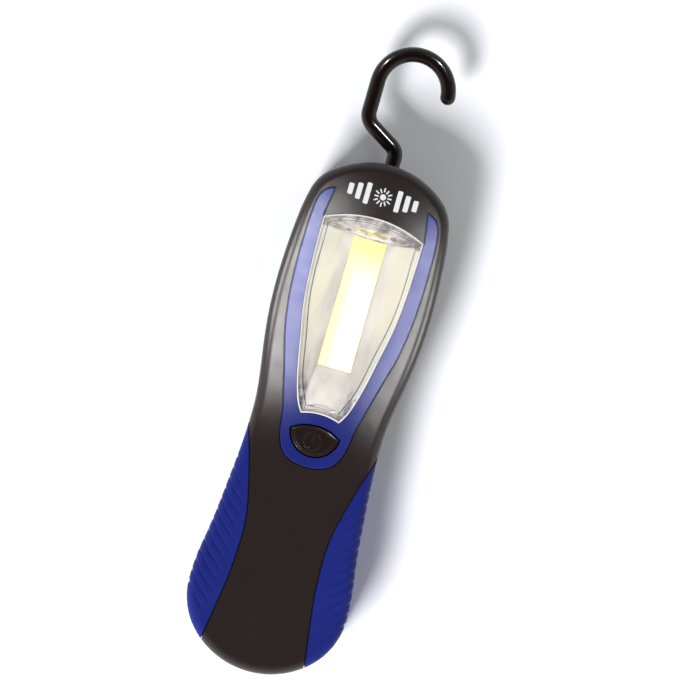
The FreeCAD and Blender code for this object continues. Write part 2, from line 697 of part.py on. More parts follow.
def lead(points, radii):
    """A thin insulated wire along straight runs with rounded corners."""
    corners = [V(*point) for point in points]
    edges = rounded_path(corners, radii)
    direction = corners[1] - corners[0]
    profile = Part.Face(Part.Wire(Part.makeCircle(0.6, corners[0], direction)))
    return Part.Wire(edges).makePipe(profile)


def make_leads(side, contact_end_y, board_x):
    """Two leads of one colour: cell contact to control board, and control board to LED board."""
    top = BAY_TOP + BAY_WALL + 1.0
    supply = lead([(side * 15, contact_end_y, top), (side * 15, 79.0, top), (board_x, 82.0, top),
                   (board_x, 86.0, top - 0.9)], [1.5, 1.5])
    feed = lead([(side * 4, 104.0, BOARD_Z + 0.7), (side * 4, 112.0, BOARD_Z + 0.7),
                 (side * 4, 118.0, 17.0), (side * 15.5, 122.0, 17.0), (side * 15.5, 130.0, 20.5)],
                [2.0, 1.5, 1.5])
    return Part.makeCompound([supply, feed])


os.makedirs("parts", exist_ok=True)
grip = make_grip()
save("front_shell", make_front_shell())
save("rear_shell", make_rear_shell())
save("right_grip", grip)
save("left_grip", mirrored(grip))
save("lens_trim", make_trim())
save("lens", make_lens())
save("reflector", make_reflector())
save("led_board", make_led_board())
save("led_phosphor", make_phosphor())
save("heat_plate", make_heat_plate())
plate_screws = [screw(x, y, LED_BOARD_Z - 1.1 - PLATE_THICK, PLATE_SCREW) for x, y in PLATE_SCREWS]
save("plate_screws", Part.makeCompound(plate_screws))
save("power_button", make_button())
save("control_board", make_control_board())
save("switch_body", make_switch_body())
save("switch_plunger", post(0, SYMBOL_Y, BOARD_Z + 1.8, BUTTON_FLANGE_Z - 0.02, PLUNGER_R))
save("return_pad", make_return_pad())
save("driver_chip", box(4.5, 9.5, 99, 103, BOARD_Z + 0.02, BOARD_Z + 1.6))
save("resistor", box(-9.6, -6.4, 98, 99.6, BOARD_Z + 0.02, BOARD_Z + 0.7))
board_screws = [screw(x, y, BOARD_Z + 0.02, BOARD_SCREW, -1) for x, y in BOARD_SCREWS]
save("board_screws", Part.makeCompound(board_screws))
save("cell_left", make_cell(-1, 1))
save("cell_middle", make_cell(0, -1))
save("cell_right", make_cell(1, 1))
save("contact_plates", make_contact_plates())
save("contact_springs", make_springs())
save("battery_door", make_door())
save("hook", make_hook())
save("hook_bush", make_bush())
save("hook_washer", make_washer())
save("hook_clip", make_clip())
save("magnet", post(0, MAGNET_Y, 0.35, 3.28, MAGNET_R))
save("magnet_cup", make_cup())
case_screws = [screw(x, y, CASE_HEAD_Z, CASE_SCREW) for x, y in CASE_SCREWS]
save("case_screws", Part.makeCompound(case_screws))
save("wire_red", make_leads(-1, 72.0, -6.0))
save("wire_black", make_leads(1, 22.0, 6.0))
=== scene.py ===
import math

import bmesh
import bpy
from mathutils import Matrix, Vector


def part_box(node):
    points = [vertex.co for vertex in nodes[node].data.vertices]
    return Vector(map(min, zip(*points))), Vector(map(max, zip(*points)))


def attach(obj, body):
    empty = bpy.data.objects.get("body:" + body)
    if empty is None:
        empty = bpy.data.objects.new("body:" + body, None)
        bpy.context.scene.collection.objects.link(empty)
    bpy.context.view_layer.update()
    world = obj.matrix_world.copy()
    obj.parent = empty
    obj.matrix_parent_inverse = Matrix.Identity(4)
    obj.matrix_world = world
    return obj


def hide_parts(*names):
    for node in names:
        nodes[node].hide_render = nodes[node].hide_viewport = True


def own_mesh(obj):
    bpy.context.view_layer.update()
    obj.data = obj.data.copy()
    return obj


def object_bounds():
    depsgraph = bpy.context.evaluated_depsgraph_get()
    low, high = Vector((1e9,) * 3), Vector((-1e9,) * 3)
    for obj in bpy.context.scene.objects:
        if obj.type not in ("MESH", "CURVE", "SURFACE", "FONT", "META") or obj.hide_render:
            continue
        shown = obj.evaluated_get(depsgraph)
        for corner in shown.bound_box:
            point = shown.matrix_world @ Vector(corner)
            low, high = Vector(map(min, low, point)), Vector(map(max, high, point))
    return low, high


# Looks of the work light. Metres, in the CAD frame: +Z is the way the lens faces, +Y the way to the hook.
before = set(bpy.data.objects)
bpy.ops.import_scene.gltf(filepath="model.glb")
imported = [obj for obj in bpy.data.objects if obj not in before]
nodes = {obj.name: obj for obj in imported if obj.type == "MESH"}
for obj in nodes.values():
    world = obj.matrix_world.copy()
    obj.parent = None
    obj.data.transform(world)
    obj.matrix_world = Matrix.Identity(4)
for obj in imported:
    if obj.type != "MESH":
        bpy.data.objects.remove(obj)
cad_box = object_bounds()

# The camera
TILT = 16.0              # degrees that the light leans in the picture
FRAME_WIDTH = 0.2678     # what the picture shows across, at half the light's height
CAMERA_HEIGHT = 1.5
VIEW_CENTRE = (-0.0003, 0.0072)
SENSOR = 0.036

# The print above the lens
FRONT_Z = 0.030          # the head's flat front
INK_SINK = 0.00001       # how far the ink starts below the surface
INK_RISE = 0.00004
PRINT_RISE = 0.0085      # middle of the print above the lens's head end
DISC_RADIUS = 0.0012
DISC_STEPS = 24
RAYS = 12
RAY_REACHES = (0.0029, 0.0026)   # from the disc's middle to the middles of even and odd rays
RAY_HALF_WIDTH = 0.00028
RAY_HALF_LENGTH = 0.00085
BAR_START = 0.0062       # from the disc's middle to the first bar
BAR_STEP = 0.0034
BAR_HALF_WIDTH = 0.0010
BAR_HALF_LENGTHS = (0.0042, 0.0032, 0.0022)
BAR_CORNER = 0.45        # a corner's radius, as a share of the bar's half width
CORNER_STEPS = 4

# The bead on the lens's flat rim
RIM_Z = 0.0309
RIM_MARGIN = 0.0001      # how far from that height a face of the rim may lie
RIM_LEVEL = 0.99         # least upward share of such a face's normal
WELD = 0.000005          # vertices this near are one
BEAD_WIDTH = 0.00055
BEAD_HEIGHT = 0.00012
BEAD_INSET = 0.00004
BEAD_SINK = 0.00001
BEAD_STEPS = 5

# The arrow on the battery door
ARROW_INSET = 0.034      # from the battery door's head edge to the arrow's tip
ARROW_HALF = 0.0042
ARROW_HEAD = 0.0055      # length of the arrow's head
ARROW_LENGTH = 0.0115
ARROW_STEM = 0.0014      # half of the stem's width
ARROW_RISE = 0.00006
ARROW_SINK = 0.00001

# The pad under the button
PAD_WALL = 0.0006
PAD_FOLD = 0.0005
PAD_FOLDS = 2
PAD_STEPS = 32           # steps along the folds
PAD_SIDES = 64           # steps round the pad
PAD_FOOT = 0.08          # straight share of the height at each end

# The studio. A lamp's place and aim are in metres, its power is in watts.
FLOOR_HALF = 1.5
FLOOR_DROP = 0.0001
KEY_PLACE = (-0.53, -1.36, 1.36)
KEY_SIZE = 0.66
KEY_POWER = 54.0
VEIL_SIDES = (("left", -0.029, 0.032, 0.0142), ("right", 0.032, 0.030, 0.0112))   # x, width, power
VEIL_Y = 0.021
VEIL_Z = 0.09
VEIL_LENGTH = 0.080
VEIL_SPREAD = 50.0       # degrees
EDGE_VEIL_OUT = 4        # the outer lamps stand this many times further out than the inner ones
EDGE_VEIL_AIM_Z = 0.024
EDGE_VEIL_WIDTH = 0.055
EDGE_VEIL_LENGTH = 0.090
EDGE_VEIL_SHARE = 1.6    # of the inner lamp's power
STRIP_PLACES = (("left", (-0.42, 0.42, 0.6)), ("right", (0.22, 0.55, 0.7)))
STRIP_AIM = (0, 0.1, 0.015)
STRIP_WIDTH = 0.05
STRIP_LENGTH = 0.22
STRIP_POWER = 4.0
WALL_TOP = 0.4           # the surroundings darken from here
CEILING = 0.8            # to here, as the upward share of the direction
WALL_LIGHT = 0.8
CEILING_LIGHT = 0.05


def corner_low(node):
    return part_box(node)[0]


def corner_high(node):
    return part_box(node)[1]


# ---- node helpers ------------------------------------------------------------------------------

COLOUR_A = 6             # sockets of the Mix node in its colour mode
COLOUR_B = 7
COLOUR_RESULT = 2
NOISE_LOW = 0.3          # nearly all of a noise's values lie between these
NOISE_HIGH = 0.7
EDGE_GAIN = 0.25         # how fast the edge mask rises as the surface turns


def new_material(name):
    """A material with one Principled shader; returns the material, its tree and the shader."""
    material = bpy.data.materials.new(name)
    material.use_nodes = True
    tree = material.node_tree
    tree.nodes.clear()
    output = tree.nodes.new("ShaderNodeOutputMaterial")
    shader = tree.nodes.new("ShaderNodeBsdfPrincipled")
    tree.links.new(shader.outputs[0], output.inputs[0])
    return material, tree, shader


def feed(tree, shader, socket, value):
    """Links a value to one of the shader's sockets."""
    tree.links.new(value, shader.inputs[socket])


def place(tree, stretch=(1, 1, 1)):
    """Object coordinates in metres, stretched along the axes."""
    source = tree.nodes.new("ShaderNodeTexCoord")
    mapping = tree.nodes.new("ShaderNodeMapping")
    mapping.inputs["Scale"].default_value = stretch
    tree.links.new(source.outputs["Object"], mapping.inputs["Vector"])
    return mapping.outputs[0]


def split_place(tree, kind="Object"):
    """The X, Y and Z of a texture coordinate, as sockets by name."""
    source = tree.nodes.new("ShaderNodeTexCoord")
    split = tree.nodes.new("ShaderNodeSeparateXYZ")
    tree.links.new(source.outputs[kind], split.inputs[0])
    return split.outputs


def noise(tree, scale, detail=3.0, stretch=(1, 1, 1)):
    """Noise with scale bumps in a metre."""
    node = tree.nodes.new("ShaderNodeTexNoise")
    node.inputs["Scale"].default_value = scale
    node.inputs["Detail"].default_value = detail
    tree.links.new(place(tree, stretch), node.inputs["Vector"])
    return node.outputs[0]


def remap(tree, value, from_low, from_high, low, high):
    node = tree.nodes.new("ShaderNodeMapRange")
    node.inputs["From Min"].default_value = from_low
    node.inputs["From Max"].default_value = from_high
    node.inputs["To Min"].default_value = low
    node.inputs["To Max"].default_value = high
    tree.links.new(value, node.inputs["Value"])
    return node.outputs[0]


def vary(tree, scale, low, high, detail=3.0):
    """A value that wanders between low and high, with scale bumps in a metre."""
    return remap(tree, noise(tree, scale, detail), NOISE_LOW, NOISE_HIGH, low, high)


def arithmetic(tree, operation, first, second):
    node = tree.nodes.new("ShaderNodeMath")
    node.operation = operation
    for socket, value in zip(node.inputs, (first, second)):
        if isinstance(value, (int, float)):
            socket.default_value = value
        else:
            tree.links.new(value, socket)
    return node.outputs[0]


def mix(tree, factor, first, second):
    """Colour first where factor is 0, second where it is 1; each is a colour or a socket."""
    node = tree.nodes.new("ShaderNodeMix")
    node.data_type = "RGBA"
    tree.links.new(factor, node.inputs["Factor"])
    for index, value in ((COLOUR_A, first), (COLOUR_B, second)):
        if isinstance(value, bpy.types.NodeSocket):
            tree.links.new(value, node.inputs[index])
        else:
            node.inputs[index].default_value = (*value, 1.0)
    return node.outputs[COLOUR_RESULT]


def round_normal(tree, radius):
    """The surface's normal with its edges rounded."""
    node = tree.nodes.new("ShaderNodeBevel")
    node.samples = 4
    node.inputs["Radius"].default_value = radius
    return node.outputs[0]


def edge_mask(tree, radius):
    """0 on flat surface, up to 1 along edges."""
    geometry = tree.nodes.new("ShaderNodeNewGeometry")
    dot = tree.nodes.new("ShaderNodeVectorMath")
    dot.operation = "DOT_PRODUCT"
    tree.links.new(round_normal(tree, radius), dot.inputs[0])
    tree.links.new(geometry.outputs["Normal"], dot.inputs[1])
    return remap(tree, dot.outputs["Value"], 1.0, 1.0 - EDGE_GAIN, 0.0, 1.0)


def bump(tree, height, depth, normal=None):
    """Relief of the given depth in metres, over another normal where one is given."""
    node = tree.nodes.new("ShaderNodeBump")
    node.inputs["Distance"].default_value = depth
    tree.links.new(height, node.inputs["Height"])
    if normal is not None:
        tree.links.new(normal, node.inputs["Normal"])
    return node.outputs[0]


def see_through(tree, shader, factor, tint=(1, 1, 1)):
    """Lets light straight through, with a tint, where factor is 1; the shader shows where it is 0."""
    clear = tree.nodes.new("ShaderNodeBsdfTransparent")
    clear.inputs[0].default_value = (*tint, 1.0)
    choose = tree.nodes.new("ShaderNodeMixShader")
    tree.links.new(factor, choose.inputs[0])
    tree.links.new(shader.outputs[0], choose.inputs[1])
    tree.links.new(clear.outputs[0], choose.inputs[2])
    tree.links.new(choose.outputs[0], tree.nodes["Material Output"].inputs[0])


def scaled(colour, share):
    return tuple(min(part * share, 1.0) for part in colour)


def moulded(name, colour, roughness, grain=1800.0, grain_depth=0.00002, edge=0.0004, wear_and_glint=0.35, lift=1.8,
            shine=0.18, joint_shade=0.0, settings=()):
    """Moulded plastic: fine spark-eroded grain, faint blotches, lightened edges and hair scratches; strong
    edge lightening is a painted highlight.

    Where the joint width isn't 0, painted shade darkens that width along every edge, for the shade in the
    joints between two mouldings.
    Settings are pairs of a shader socket's name and its value.
    """
    material, tree, shader = new_material(name)
    shader.inputs["Specular IOR Level"].default_value = shine
    for socket, value in settings:
        shader.inputs[socket].default_value = value
    blotch = vary(tree, 60.0, 0.0, 1.0, detail=2.0)
    body = mix(tree, blotch, scaled(colour, 0.95), scaled(colour, 1.05))
    # Lightened edges: rubbed wear, and where made strong, a painted highlight.
    rub_and_glint_mask = arithmetic(tree, "MULTIPLY", edge_mask(tree, edge), noise(tree, 350.0, 4.0))
    surface_colour = mix(tree, arithmetic(tree, "MULTIPLY", rub_and_glint_mask, wear_and_glint), body, scaled(colour, lift))
    # Painted shade along every edge, for the shade in the joints between mouldings.
    if joint_shade:
        surface_colour = mix(tree, edge_mask(tree, joint_shade), surface_colour, scaled(colour, 0.08))
    feed(tree, shader, "Base Color", surface_colour)
    scratch = remap(tree, noise(tree, 260.0, 5.0, (14, 1, 1)), 0.62, 0.7, 0.0, 0.03)
    base = vary(tree, 190.0, roughness - 0.03, roughness + 0.03)
    feed(tree, shader, "Roughness", arithmetic(tree, "SUBTRACT", base, scratch))
    feed(tree, shader, "Normal", bump(tree, noise(tree, grain), grain_depth, round_normal(tree, edge)))
    return material


def metal(name, colour, roughness, stretch=(1, 1, 1), edge=0.0002):
    """Plated or brushed metal with lines along the least stretched axis."""
    material, tree, shader = new_material(name)
    shader.inputs["Metallic"].default_value = 1.0
    stain = remap(tree, noise(tree, 90.0, 4.0), 0.35, 0.75, 0.0, 1.0)
    feed(tree, shader, "Base Color", mix(tree, stain, colour, scaled(colour, 0.78)))
    lines = noise(tree, 700.0, 4.0, stretch)
    uneven = remap(tree, lines, NOISE_LOW, NOISE_HIGH, roughness - 0.08, roughness + 0.1)
    feed(tree, shader, "Roughness", uneven)
    feed(tree, shader, "Normal", bump(tree, lines, 0.00001, round_normal(tree, edge)))
    return material


def dress(node, material):
    mesh = nodes[node].data
    mesh.materials.clear()
    mesh.materials.append(material)


# ---- materials -----------------------------------------------------------------------------------

DARK = (0.0190, 0.0130, 0.0117)
BLUE = (0.0115, 0.0185, 0.162)
JOINT_SHADE_WIDTH = 0.0006            # width of the painted shade along the joints

shell = moulded("shell_plastic", DARK, 0.34, edge=0.0002, shine=0.5, joint_shade=JOINT_SHADE_WIDTH)
grip = moulded("grip_rubber", BLUE, 0.5, grain=1300.0, grain_depth=0.00003, edge=0.0003, wear_and_glint=0.3, lift=1.5,
               shine=0.08, joint_shade=JOINT_SHADE_WIDTH, settings=(("Sheen Weight", 0.04),))
trim = moulded("trim_plastic", BLUE, 0.34, grain=2200.0, grain_depth=0.00001, edge=0.0002, wear_and_glint=0.3, lift=1.5,
               shine=0.5, joint_shade=JOINT_SHADE_WIDTH)
# The button's strong edge lightening is a painted highlight on its rim and raised power sign, over a little
# wear.
button = moulded("button_plastic", (0.013, 0.008, 0.007), 0.24, grain_depth=0.000008, edge=0.0003, wear_and_glint=0.9,
                 lift=8.0, shine=0.3)
hook = moulded("hook_plastic", (0.006, 0.0025, 0.0018), 0.2, grain=900.0, grain_depth=0.000006, edge=0.0004,
               settings=(("Coat Weight", 0.35), ("Coat Roughness", 0.08)))
bush = moulded("bush_plastic", (0.02, 0.018, 0.017), 0.4)
switch_case = moulded("switch_plastic", (0.025, 0.025, 0.026), 0.5)
plunger = moulded("plunger_plastic", (0.3, 0.05, 0.03), 0.4)
silicone = moulded("pad_silicone", (0.4, 0.4, 0.39), 0.6)
red_sleeve = moulded("wire_red_sleeve", (0.45, 0.015, 0.012), 0.45)
black_sleeve = moulded("wire_black_sleeve", (0.02, 0.02, 0.02), 0.45)
chip = moulded("chip_epoxy", (0.018, 0.018, 0.02), 0.55)
zinc = metal("screw_zinc", (0.62, 0.63, 0.66), 0.3)
nickel = metal("contact_nickel", (0.74, 0.71, 0.64), 0.22, (1, 6, 1))
aluminium = metal("plate_aluminium", (0.72, 0.73, 0.74), 0.38, (10, 1, 1))
spring_steel = metal("clip_steel", (0.3, 0.29, 0.28), 0.42)
magnet_plate = metal("magnet_nickel", (0.78, 0.76, 0.72), 0.16)
cup_zinc = metal("cup_zinc", (0.6, 0.61, 0.63), 0.34)


def make_reflector_material():
    """Glossy white plastic, a little greyer on its right. Painted light and shade: warm outer and cool inner
    walls, grey at the head wall with painted reflection, and grey in two lower corners.
    """
    material, tree, shader = new_material("reflector_white")
    here = split_place(tree)
    across = arithmetic(tree, "ABSOLUTE", here["X"], 0.0)
    tone = remap(tree, noise(tree, 95.0, 3.0, (1, 0.4, 1)), 0.42, 0.62, 0.0, 1.0)
    # Painted light and shade: the outer walls are mixed warm cream and the inner walls cool grey, for how
    # light falls on the two slopes.
    outer = remap(tree, across, 0.0105, 0.0125, 0.0, 1.0)
    warm = mix(tree, tone, (0.76, 0.76, 0.69), (0.64, 0.66, 0.63))
    cool = mix(tree, tone, (0.76, 0.76, 0.79), (0.56, 0.56, 0.61))
    body = mix(tree, outer, cool, warm)
    # Painted shade and reflection: the head wall, mottled, and the two lower corners, in patches, are mixed
    # towards grey-violet.
    wall_y = corner_high("led_phosphor").y + 0.0006
    foot_y = corner_low("led_phosphor").y
    head_wall_mask = remap(tree, here["Y"], wall_y, wall_y + 0.0008, 0.0, 1.0)
    low = remap(tree, here["Y"], foot_y - 0.004, foot_y - 0.012, 0.0, 1.0)
    corner = remap(tree, across, 0.0072, 0.0084, 0.0, 1.0)
    wall_shade_mottle = remap(tree, noise(tree, 260.0, 2.0), 0.38, 0.6, 0.25, 1.0)
    patches = remap(tree, noise(tree, 330.0, 2.0), 0.40, 0.58, 0.0, 1.0)
    head = arithmetic(tree, "MULTIPLY", head_wall_mask, wall_shade_mottle)
    foot = arithmetic(tree, "MULTIPLY", arithmetic(tree, "MULTIPLY", low, corner), patches)
    right = remap(tree, here["X"], 0.002, 0.006, 0.0, 0.2)
    shade = arithmetic(tree, "MAXIMUM", arithmetic(tree, "MAXIMUM", head, foot), right)
    feed(tree, shader, "Base Color", mix(tree, shade, body, (0.17, 0.16, 0.18)))
    feed(tree, shader, "Roughness", vary(tree, 300.0, 0.12, 0.26))
    feed(tree, shader, "Normal", bump(tree, noise(tree, 160.0, 2.0), 0.0001, round_normal(tree, 0.0006)))
    return material


def make_lens_material():
    """Clear plastic with a faint haze. Shadows and diffuse light pass straight through it."""
    material, tree, shader = new_material("lens_clear")
    shader.inputs["Transmission Weight"].default_value = 1.0
    shader.inputs["IOR"].default_value = 1.3
    tint = vary(tree, 30.0, 0.0, 1.0, detail=2.0)
    feed(tree, shader, "Base Color", mix(tree, tint, (1.0, 0.99, 0.965), (0.97, 0.965, 0.95)))
    feed(tree, shader, "Roughness", remap(tree, noise(tree, 220.0, 4.0), 0.3, 0.75, 0.03, 0.12))
    feed(tree, shader, "Normal", bump(tree, noise(tree, 55.0, 2.0), 0.00004, round_normal(tree, 0.0005)))
    path = tree.nodes.new("ShaderNodeLightPath")
    passing = arithmetic(tree, "MAXIMUM", path.outputs["Is Shadow Ray"], path.outputs["Is Diffuse Ray"])
    see_through(tree, shader, passing, (0.97, 0.96, 0.94))
    return material


def make_phosphor_material():
    """Lit phosphor gel: the dies' rows barely show, and it burns yellower at its head end and on its left."""
    material, tree, shader = new_material("led_phosphor_lit")
    shader.inputs["Roughness"].default_value = 0.35
    dies = tree.nodes.new("ShaderNodeTexVoronoi")
    dies.inputs["Scale"].default_value = 420.0
    dies.inputs["Randomness"].default_value = 0.15
    tree.links.new(place(tree), dies.inputs["Vector"])
    near = remap(tree, dies.outputs["Distance"], 0.0, 0.6, 1.0, 0.85)
    here = split_place(tree)
    top = corner_high("led_phosphor").y
    head = remap(tree, here["Y"], top - 0.020, top - 0.003, 0.0, 1.0)
    left = remap(tree, here["X"], -0.0005, -0.0040, 0.0, 0.65)
    warm = arithmetic(tree, "MAXIMUM", head, left)
    feed(tree, shader, "Base Color", mix(tree, near, (0.8, 0.62, 0.2), (0.9, 0.75, 0.35)))
    glow = mix(tree, warm, (1.0, 0.98, 0.66), (1.0, 0.88, 0.1))
    feed(tree, shader, "Emission Color", mix(tree, near, (0.7, 0.6, 0.3), glow))
    shader.inputs["Emission Strength"].default_value = 1.7
    feed(tree, shader, "Normal", bump(tree, noise(tree, 500.0), 0.00003))
    return material


def make_board_material():
    """Green solder mask with copper tracks showing through it."""
    material, tree, shader = new_material("board_mask")
    bricks = tree.nodes.new("ShaderNodeTexBrick")
    bricks.inputs["Scale"].default_value = 160.0
    bricks.inputs["Mortar Size"].default_value = 0.06
    tree.links.new(place(tree), bricks.inputs["Vector"])
    tracks = bricks.outputs["Fac"]
    feed(tree, shader, "Base Color", mix(tree, tracks, (0.012, 0.12, 0.04), (0.03, 0.24, 0.08)))
    feed(tree, shader, "Roughness", vary(tree, 200.0, 0.25, 0.38))
    feed(tree, shader, "Normal", bump(tree, tracks, 0.00003, round_normal(tree, 0.0001)))
    return material


def make_cell_material(nub_y, way):
    """A plain printed film: a copper band at the nub's end, dark film on the rest, bare steel at the nub.

    Way is 1 where the nub's end points to the hook and -1 where it points to the tail.
    """
    material, tree, shader = new_material("cell_film" + ("_up" if way > 0 else "_down"))
    here = split_place(tree)
    depth = arithmetic(tree, "MULTIPLY", arithmetic(tree, "SUBTRACT", nub_y, here["Y"]), way)
    band = remap(tree, depth, 0.0145, 0.0148, 0.0, 1.0)
    bare = remap(tree, depth, 0.0012, 0.0014, 1.0, 0.0)
    film = mix(tree, band, (0.45, 0.17, 0.06), (0.016, 0.016, 0.018))
    feed(tree, shader, "Base Color", mix(tree, bare, film, (0.6, 0.6, 0.6)))
    shader.inputs["Metallic"].default_value = 0.7
    feed(tree, shader, "Roughness", vary(tree, 150.0, 0.2, 0.34))
    feed(tree, shader, "Normal", bump(tree, noise(tree, 90.0), 0.00002))
    return material


def make_ink_material():
    """White pad-print ink: chalky, and thin in spots."""
    material, tree, shader = new_material("print_ink")
    thin = remap(tree, noise(tree, 900.0, 4.0), 0.66, 0.74, 0.0, 0.6)
    feed(tree, shader, "Base Color", mix(tree, thin, (0.74, 0.75, 0.77), (0.25, 0.24, 0.24)))
    feed(tree, shader, "Roughness", vary(tree, 400.0, 0.45, 0.6))
    feed(tree, shader, "Normal", bump(tree, noise(tree, 1500.0), 0.00001))
    return material


def make_lit_rim_material():
    """The lens's frosted rim, pale and glowing a little: painted light for the lamp's light that the rim
    carries.
    """
    material, tree, shader = new_material("lens_rim_frosted_and_lit")
    tone = vary(tree, 300.0, 0.0, 1.0)
    feed(tree, shader, "Base Color", mix(tree, tone, (0.8, 0.78, 0.8), (0.68, 0.66, 0.69)))
    feed(tree, shader, "Roughness", vary(tree, 800.0, 0.3, 0.5))
    # Painted light: the rim glows a little, for the lamp's light that it carries.
    shader.inputs["Emission Color"].default_value = (1.0, 0.97, 0.95, 1.0)
    shader.inputs["Emission Strength"].default_value = 0.05
    feed(tree, shader, "Normal", bump(tree, noise(tree, 1200.0), 0.00002))
    return material


finishes = (
    (shell, ("front_shell", "rear_shell", "battery_door")),
    (grip, ("left_grip", "right_grip")),
    (trim, ("lens_trim",)),
    (make_lens_material(), ("lens",)),
    (make_reflector_material(), ("reflector",)),
    (aluminium, ("led_board", "heat_plate")),
    (make_phosphor_material(), ("led_phosphor",)),
    (button, ("power_button",)),
    (make_board_material(), ("control_board",)),
    (switch_case, ("switch_body",)),
    (plunger, ("switch_plunger",)),
    (hook, ("hook",)),
    (bush, ("hook_bush",)),
    (zinc, ("hook_washer", "plate_screws", "board_screws", "case_screws")),
    (spring_steel, ("hook_clip",)),
    (magnet_plate, ("magnet",)),
    (cup_zinc, ("magnet_cup",)),
    (red_sleeve, ("wire_red",)),
    (black_sleeve, ("wire_black",)),
    (chip, ("driver_chip", "resistor")),
    (nickel, ("contact_plates", "contact_springs")),
)
for material, names in finishes:
    for name in names:
        dress(name, material)
for name in ("cell_left", "cell_right"):
    dress(name, make_cell_material(corner_high(name).y, 1.0))
dress("cell_middle", make_cell_material(corner_low("cell_middle").y, -1.0))


# ---- added pieces --------------------------------------------------------------------------------

def put(name, data):
    """A new object in the scene, made of a mesh, a lamp or a camera."""
    thing = bpy.data.objects.new(name, data)
    bpy.context.scene.collection.objects.link(thing)
    return thing


def new_piece(name, form, body, material):
    """A mesh object from a bmesh form, riding on a body."""
    mesh = bpy.data.meshes.new(name)
    form.to_mesh(mesh)
    form.free()
    piece = put(name, mesh)
    mesh.materials.append(material)
    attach(piece, body)
    return piece


def smooth(piece):
    for face in piece.data.polygons:
        face.use_smooth = True


def flat_shape(form, outline, low, high):
    """A thin plate with the given outline in plan, between two heights."""
    bottom = [form.verts.new((x, y, low)) for x, y in outline]
    top = [form.verts.new((x, y, high)) for x, y in outline]
    form.faces.new(top)
    form.faces.new(list(reversed(bottom)))
    for index in range(len(outline)):
        after = (index + 1) % len(outline)
        form.faces.new((bottom[index], bottom[after], top[after], top[index]))


def round_bar(x, y, half_width, half_length, turn=0.0):
    """Outline of a bar with round corners, turned about its middle."""
    corner = half_width * BAR_CORNER
    outline = []
    for side_x, side_y, start in ((1, 1, 0), (-1, 1, 90), (-1, -1, 180), (1, -1, 270)):
        for step in range(CORNER_STEPS + 1):
            angle = math.radians(start + step * 90 / CORNER_STEPS)
            across = side_x * (half_width - corner) + corner * math.cos(angle)
            along = side_y * (half_length - corner) + corner * math.sin(angle)
            outline.append((x + across * math.cos(turn) - along * math.sin(turn),
                            y + across * math.sin(turn) + along * math.cos(turn)))
    return outline


def make_print():
    """A plain lamp sign above the lens: a rayed disc between two sets of bars."""
    form = bmesh.new()
    low = FRONT_Z - INK_SINK
    high = FRONT_Z + INK_RISE
    middle_y = corner_high("lens").y + PRINT_RISE
    disc = []
    for step in range(DISC_STEPS):
        turn = math.tau * step / DISC_STEPS
        disc.append((DISC_RADIUS * math.cos(turn), middle_y + DISC_RADIUS * math.sin(turn)))
    flat_shape(form, disc, low, high)
    for ray in range(RAYS):
        turn = math.tau * ray / RAYS
        reach = RAY_REACHES[ray % 2]
        flat_shape(form, round_bar(-reach * math.sin(turn), middle_y + reach * math.cos(turn),
                                   RAY_HALF_WIDTH, RAY_HALF_LENGTH, turn), low, high)
    for side in (-1, 1):
        for number, half_length in enumerate(BAR_HALF_LENGTHS):
            x = side * (BAR_START + number * BAR_STEP)
            flat_shape(form, round_bar(x, middle_y, BAR_HALF_WIDTH, half_length), low, high)
    new_piece("front_print", form, "case", make_ink_material())


def make_door_arrow():
    """A small raised arrow on the battery door. Its tip points the way it slides, to the tail."""
    low = corner_low("battery_door")
    high = corner_high("battery_door")
    x = (low.x + high.x) / 2
    tip_y = high.y - ARROW_INSET
    arrow = ((0, 0), (ARROW_HALF, ARROW_HEAD), (ARROW_STEM, ARROW_HEAD), (ARROW_STEM, ARROW_LENGTH),
             (-ARROW_STEM, ARROW_LENGTH), (-ARROW_STEM, ARROW_HEAD), (-ARROW_HALF, ARROW_HEAD))
    form = bmesh.new()
    flat_shape(form, [(x + across, tip_y + along) for across, along in arrow],
               low.z - ARROW_RISE, low.z + ARROW_SINK)
    new_piece("door_arrow", form, "door", shell)


def outer_loop(form, faces):
    """The longest run of border vertices round a set of faces, in order, as points."""
    chosen = set(faces)
    border = [edge for face in faces for edge in face.edges
              if sum(1 for other in edge.link_faces if other in chosen) == 1]
    links = {}
    for edge in border:
        for vert, other in ((edge.verts[0], edge.verts[1]), (edge.verts[1], edge.verts[0])):
            links.setdefault(vert, []).append(other)
    loops = []
    left = set(links)
    while left:
        here = min(left, key=lambda vert: tuple(vert.co))
        left.discard(here)
        loop = [here]
        while True:
            ahead = [vert for vert in links[here] if vert in left]
            if not ahead:
                break
            here = ahead[0]
            left.discard(here)
            loop.append(here)
        loops.append([vert.co.copy() for vert in loop])
    return max(loops, key=length_round)


def length_round(loop):
    return sum((after - here).length for here, after in zip(loop, loop[1:] + loop[:1]))


